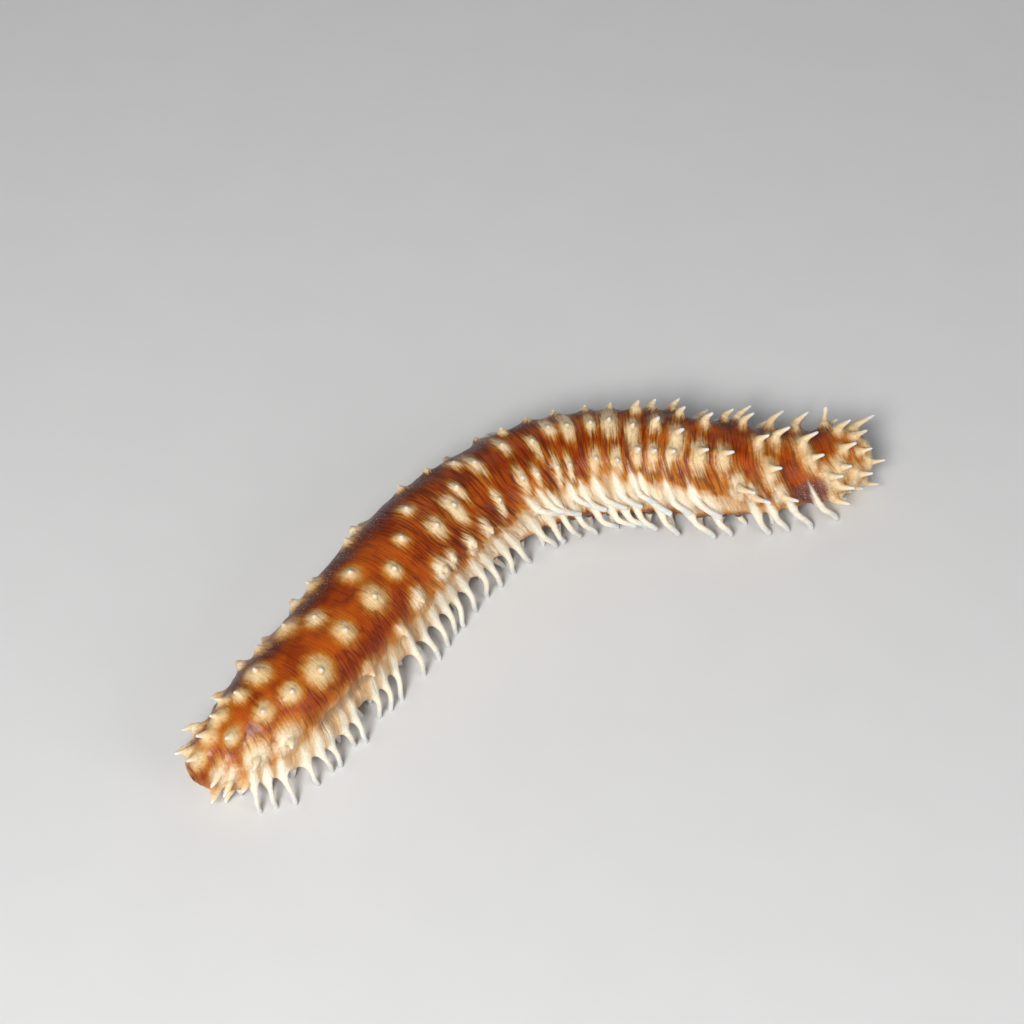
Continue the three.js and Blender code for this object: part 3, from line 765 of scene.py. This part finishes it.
def wet_skin():
    material = bpy.data.materials.new("wet skin")
    material.use_nodes = True
    tree = material.node_tree
    shader = tree.nodes["Principled BSDF"]
    place = measure(tree, "laid_out")["Vector"]
    spot_at, band_at = measure(tree, "spot")["Fac"], measure(tree, "band")["Fac"]
    web_at, far_side_shade_at = measure(tree, "web")["Fac"], measure(tree, "far_side_shade")["Fac"]
    hollow_shade_at, folded_at = measure(tree, "hollow")["Fac"], measure(tree, "folded")["Fac"]
    foot_at, nub_at = measure(tree, "foot")["Fac"], measure(tree, "papilla")["Fac"]
    mauve_at, pale_at = measure(tree, "mauve")["Fac"], measure(tree, "pale")["Fac"]

    # The grains: clouds, thin strokes and broader ones round the body, frayed edges and fine dots
    broad = grain(tree, place, (9, 7, 7))
    streak = grain(tree, place, (0.42, 6, 6), 1.5, 0.5)
    brush = grain(tree, place, (0.8, 6, 6), 2.0, 0.5)
    edge = grain(tree, place, (1.6, 2.0, 2.0), 3.0, 0.6)
    fine = grain(tree, place, (0.4, 0.5, 0.5), 3.0, 0.6)
    wave = maths(tree, "SUBTRACT", broad, 0.5)
    stroke = maths(tree, "SUBTRACT", brush, 0.5)
    wobble = maths(tree, "SUBTRACT", edge, 0.5)

    # Rust brown, with painted shade on the back's far side, and darker along the sole: the sole's own
    # brown deepened with painted shade
    colour = dyed(tree, share_of(tree, broad, 0.35, 0.7), RUST, BRIGHT_RUST)
    colour = dyed(tree, share_of(tree, far_side_shade_at, *FAR_SIDE_SHADE_EDGE, 0.85), colour, FAR_SIDE_SHADE)
    low = node(tree, "SeparateXYZ", {0: place})[2]
    # Darker towards the floor: the sole's own brown and painted shade under the body
    colour = dyed(tree, share_of(tree, low, *SOLE_EDGE), colour, SOLE_BROWN_AND_SHADE)

    # Soft cream spots, each in an orange halo
    streaked_by = maths(tree, "MULTIPLY", folded_at, 0.9)
    soft = maths(tree, "ADD", spot_at, maths(tree, "MULTIPLY", wobble, 0.7))
    soft = maths(tree, "ADD", soft, maths(tree, "MULTIPLY", stroke, streaked_by))
    spot_colour = dyed(tree, share_of(tree, folded_at, 0.35, 0.9), SPOT_TAN, CREAM)
    spot_colour = dyed(tree, pale_at, spot_colour, BAND_WHITE)
    colour = dyed(tree, share_of(tree, soft, *SPOT_HALO_EDGE, 0.9), colour, HALO)
    colour = dyed(tree, share_of(tree, soft, *SPOT_EDGE, 0.97), colour, spot_colour)

    # The pale band along the flank, frayed at its edge, with painted shade between the white ridges of the
    # feet
    frayed_by = maths(tree, "MULTIPLY", folded_at, 4.5)
    ragged = maths(tree, "ADD", band_at, maths(tree, "MULTIPLY", wobble, 5.0))
    ragged = maths(tree, "ADD", ragged, maths(tree, "MULTIPLY", wave, 7.0))
    ragged = maths(tree, "ADD", ragged, maths(tree, "MULTIPLY", stroke, frayed_by))
    ragged = maths(tree, "ADD", ragged, maths(tree, "MULTIPLY", web_at, 3.5))
    colour = dyed(tree, share_of(tree, ragged, *BAND_HALO_EDGE, 0.8), colour, HALO)
    band_colour = dyed(tree, share_of(tree, folded_at, 0.35, 0.9), BAND_TAN, BAND_WHITE)
    colour = dyed(tree, share_of(tree, ragged, *BAND_EDGE, 0.92), colour, band_colour)
    # Painted shade in the hollows between the white ridges above the feet
    between = maths(tree, "MULTIPLY", share_of(tree, ragged, 0.5, 3.0), share_of(tree, web_at, 0.4, 0.05))
    between = maths(tree, "MULTIPLY", between, share_of(tree, brush, 0.35, 0.6, 0.65))
    colour = dyed(tree, between, colour, RIDGE_GAP_SHADE)
    blotch = maths(tree, "ADD", mauve_at, maths(tree, "MULTIPLY", wobble, 0.5))
    colour = dyed(tree, share_of(tree, blotch, *MAUVE_EDGE, 0.9), colour, MAUVE)
    # Painted shade darkens the hollows behind the first feet
    colour = dyed(tree, share_of(tree, hollow_shade_at, 0.3, 0.9, 0.6), colour, HOLLOW_SHADE)
    streaky_web = maths(tree, "ADD", web_at, maths(tree, "MULTIPLY", stroke, 0.6))
    colour = dyed(tree, share_of(tree, streaky_web, *WEB_EDGE), colour, ROOT_WHITE)

    # Dark lines on the rust alone, painted shade in the grooves of its wrinkles, and pale specks on the
    # shaded far side
    dark_lines = maths(tree, "MULTIPLY", share_of(tree, streak, 0.46, 0.64, 0.7), folded_at)
    on_rust = maths(tree, "MULTIPLY", share_of(tree, soft, 0.4, 1.2), share_of(tree, ragged, 1.5, -0.5))
    off_web = maths(tree, "MULTIPLY", on_rust, share_of(tree, web_at, 0.5, 0.1))
    colour = dyed(tree, maths(tree, "MULTIPLY", dark_lines, off_web), colour, DARK_RUST_AND_SHADE)
    contour = maths(tree, "SUBTRACT", grain(tree, place, (1.9, 9, 9), 1.0), 0.5)
    wrinkle = share_of(tree, maths(tree, "ABSOLUTE", contour, 0.0), 0.07, 0.0, 0.42)
    wrinkle = maths(tree, "MULTIPLY", wrinkle, share_of(tree, broad, 0.62, 0.42))
    # Painted shade darkens the wrinkles' grooves, the same lines that the bump below carves
    colour = dyed(tree, maths(tree, "MULTIPLY", wrinkle, on_rust), colour, DARK_RUST_AND_SHADE)
    # Pale specks, partly the skin's own dots and partly painted glints standing in for wet highlights
    speck = grain(tree, place, (0.28, 0.28, 0.28), 1.0, 0.5)
    speckled = share_of(tree, maths(tree, "MAXIMUM", far_side_shade_at, mauve_at), 0.3, 0.8, 0.8)
    speck_share = maths(tree, "MULTIPLY", share_of(tree, speck, 0.64, 0.73), speckled)
    colour = dyed(tree, speck_share, colour, SPECK_AND_GLINT)

    # Painted grey shade round a papilla's foot, pale papillae and tube feet with clear tips
    colour = dyed(tree, share_of(tree, spot_at, 0.34, 0.18, 0.6), colour, NUB_FOOT_SHADE)
    colour = dyed(tree, share_of(tree, nub_at, 0.05, 0.45), colour, CREAM)
    colour = dyed(tree, share_of(tree, nub_at, 0.5, 1.0), colour, TIP_WHITE)
    colour = dyed(tree, share_of(tree, foot_at, 0.02, 0.15), colour, FOOT_CREAM)
    colour = dyed(tree, share_of(tree, foot_at, 0.3, 0.8), colour, FOOT_CLEAR)
    colour = dyed(tree, share_of(tree, fine, 0.35, 0.75, 0.15), colour, DARK_RUST_AND_SHADE)

    height = maths(tree, "ADD", maths(tree, "MULTIPLY", streak, 0.6), maths(tree, "MULTIPLY", fine, 0.4))
    height = maths(tree, "SUBTRACT", height, maths(tree, "MULTIPLY", wrinkle, 0.9))
    bump = node(tree, "Bump", {"Strength": 0.55, "Distance": BUMP_DEPTH, "Height": height})["Normal"]
    gloss = node(tree, "MapRange", {"Value": broad, "From Min": 0.3, "From Max": 0.7,
                                    "To Min": SHEEN_ROUGHNESS[0], "To Max": SHEEN_ROUGHNESS[1]})["Result"]
    tree.links.new(colour, shader.inputs["Base Color"])
    tree.links.new(gloss, shader.inputs["Roughness"])
    tree.links.new(bump, shader.inputs["Normal"])
    shader.inputs["Specular IOR Level"].default_value = 0.25
    shader.inputs["Subsurface Weight"].default_value = 0.15
    shader.inputs["Subsurface Radius"].default_value = (1.0, 0.45, 0.25)
    shader.inputs["Subsurface Scale"].default_value = 0.0012
    shader.inputs["Coat Weight"].default_value = 0.08
    shader.inputs["Coat Roughness"].default_value = 0.12
    return material


skin.data.materials.clear()
skin.data.materials.append(wet_skin())
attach(skin, "root")
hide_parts("vent_end", "hind_body", "hind_mid_body", "mid_body", "fore_mid_body", "fore_body",
            "neck", "mouth_end")

# The mouth
# A soft round disc set back in the lip of the front end, with the twenty feeding tentacles drawn in to
# blunt, wet buds round it. It is one piece, pressed into the lip.
DISC_RADIUS = 3.5
DISC_SET_BACK = 0.9
DISC_THICKNESS = 0.8
# The rounds of the disc's face from its rim to its middle, each a width and a height
DISC_STEPS = [(0.7, 0.35), (1.0, 0.15), (0.9, -0.5), (0.6, -0.6)]
BUDS = 20
BUD = {"radius": 0.55, "length": 1.25, "ring": 2.55, "inner_ring": 1.45, "tilt": 0.35, "out": 0.2}
MOUTH_DARK = (0.10, 0.05, 0.03, 1)
MOUTH_PALE = (0.42, 0.32, 0.2, 1)


def mouth_disc():
    bm = bmesh.new()
    end = np.array(LENGTH)
    middle = Vector(spine_point(end))
    middle.z = float(middle_height(end))
    forward, side = Vector(forward_at(end)), Vector(side_at(end))
    turned = Matrix((side, Vector((0, 0, 1)), forward)).transposed().to_4x4()
    bmesh.ops.create_circle(bm, cap_ends=True, radius=DISC_RADIUS, segments=40)
    rim = list(bm.faces)
    for width, rise in DISC_STEPS:
        bmesh.ops.inset_region(bm, faces=rim, thickness=width, depth=rise)
    bmesh.ops.solidify(bm, geom=list(bm.faces), thickness=DISC_THICKNESS)
    for n in range(BUDS):
        outer = n % 2 == 0
        turn = math.tau * n / BUDS
        ring = BUD["ring"] if outer else BUD["inner_ring"]
        ball = bmesh.ops.create_icosphere(bm, subdivisions=2, radius=BUD["radius"])["verts"]
        longer = BUD["length"] / BUD["radius"] * (1 + 0.2 * vary(n, 91))
        bmesh.ops.scale(bm, vec=(1, 1, longer), verts=ball)
        tilted = Matrix.Rotation(BUD["tilt"], 3, (-math.sin(turn), math.cos(turn), 0))
        bmesh.ops.rotate(bm, matrix=tilted, verts=ball)
        bmesh.ops.translate(bm, vec=(ring * math.cos(turn), ring * math.sin(turn), BUD["out"]), verts=ball)
    set_back = Matrix.Translation(middle - forward * DISC_SET_BACK)
    bmesh.ops.transform(bm, matrix=set_back @ turned, verts=bm.verts)
    bmesh.ops.scale(bm, vec=(MM, MM, MM), verts=bm.verts)
    bmesh.ops.recalc_face_normals(bm, faces=bm.faces)
    for face in bm.faces:
        face.smooth = True
    mesh = bpy.data.meshes.new("mouth")
    bm.to_mesh(mesh)
    bm.free()
    piece = bpy.data.objects.new("mouth_disc", mesh)
    bpy.context.scene.collection.objects.link(piece)
    return piece


def mouth_flesh():
    material = bpy.data.materials.new("mouth flesh")
    material.use_nodes = True
    tree = material.node_tree
    shader = tree.nodes["Principled BSDF"]
    place = node(tree, "TexCoord")["Object"]
    folds = node(tree, "TexNoise", {"Vector": place, "Scale": 900.0, "Detail": 3.0})[0]
    colour = dyed(tree, share_of(tree, folds, 0.35, 0.65), MOUTH_DARK, MOUTH_PALE)
    tree.links.new(colour, shader.inputs["Base Color"])
    bump = node(tree, "Bump", {"Strength": 0.5, "Distance": 0.0002, "Height": folds})["Normal"]
    tree.links.new(bump, shader.inputs["Normal"])
    shader.inputs["Roughness"].default_value = 0.25
    return material


mouth = mouth_disc()
mouth.data.materials.append(mouth_flesh())
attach(mouth, "root")
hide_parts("mouth")

# The floor, the light and the camera
# A plain pale studio floor, which isn't part of the animal, under soft lights, with the camera at the
# photograph's angle.
FLOOR_SIZE = 4.0
FLOOR_GREYS = (0.755, 0.75, 0.74, 1), (0.765, 0.76, 0.75, 1)
bm = bmesh.new()
bmesh.ops.create_grid(bm, x_segments=1, y_segments=1, size=FLOOR_SIZE / 2)
floor_mesh = bpy.data.meshes.new("floor")
bm.to_mesh(floor_mesh)
bm.free()
floor = bpy.data.objects.new("floor", floor_mesh)
bpy.context.scene.collection.objects.link(floor)
paint = bpy.data.materials.new("pale floor")
paint.use_nodes = True
floor_tree = paint.node_tree
floor_place = node(floor_tree, "TexCoord")["Object"]
floor_grain = node(floor_tree, "TexNoise", {"Vector": floor_place, "Scale": 60.0})[0]
floor_colour = dyed(floor_tree, share_of(floor_tree, floor_grain, 0.3, 0.7), *FLOOR_GREYS)
floor_tree.links.new(floor_colour, floor_tree.nodes["Principled BSDF"].inputs["Base Color"])
floor_tree.nodes["Principled BSDF"].inputs["Roughness"].default_value = 0.75
floor_mesh.materials.append(paint)

# Each light has its place, its width and its power
LIGHTS = [
    ("key", (-0.22, -0.60, 0.62), 0.32, 7.2),
    ("fill", (0.60, -0.50, 0.45), 0.5, 1.5),
    ("back", (0.1, 0.75, 0.60), 0.5, 0.45),
]
for name, place, size, power in LIGHTS:
    lamp = bpy.data.lights.new(name, "AREA")
    lamp.shape = "DISK"
    lamp.size = size
    lamp.energy = power
    light = bpy.data.objects.new(name, lamp)
    light.location = place
    light.rotation_euler = (-Vector(place)).to_track_quat("-Z", "Y").to_euler()
    bpy.context.scene.collection.objects.link(light)
world = bpy.data.worlds.new("studio")
world.use_nodes = True
world.node_tree.nodes["Background"].inputs["Color"].default_value = (0.9, 0.93, 1, 1)
world.node_tree.nodes["Background"].inputs["Strength"].default_value = 0.14
bpy.context.scene.world = world
bpy.context.scene.view_settings.view_transform = "Standard"

TARGET = Vector((-0.0067, 0.023, 0.010))
DISTANCE = 0.563
ELEVATION = math.radians(50)
lens = bpy.data.cameras.new("camera")
lens.lens = 90
lens.sensor_width = 36
lens.clip_start = 0.01
camera = bpy.data.objects.new("camera", lens)
camera.location = TARGET + DISTANCE * Vector((0, -math.cos(ELEVATION), math.sin(ELEVATION)))
camera.rotation_euler = (math.pi / 2 - ELEVATION, 0, 0)
bpy.context.scene.collection.objects.link(camera)
bpy.context.scene.camera = camera
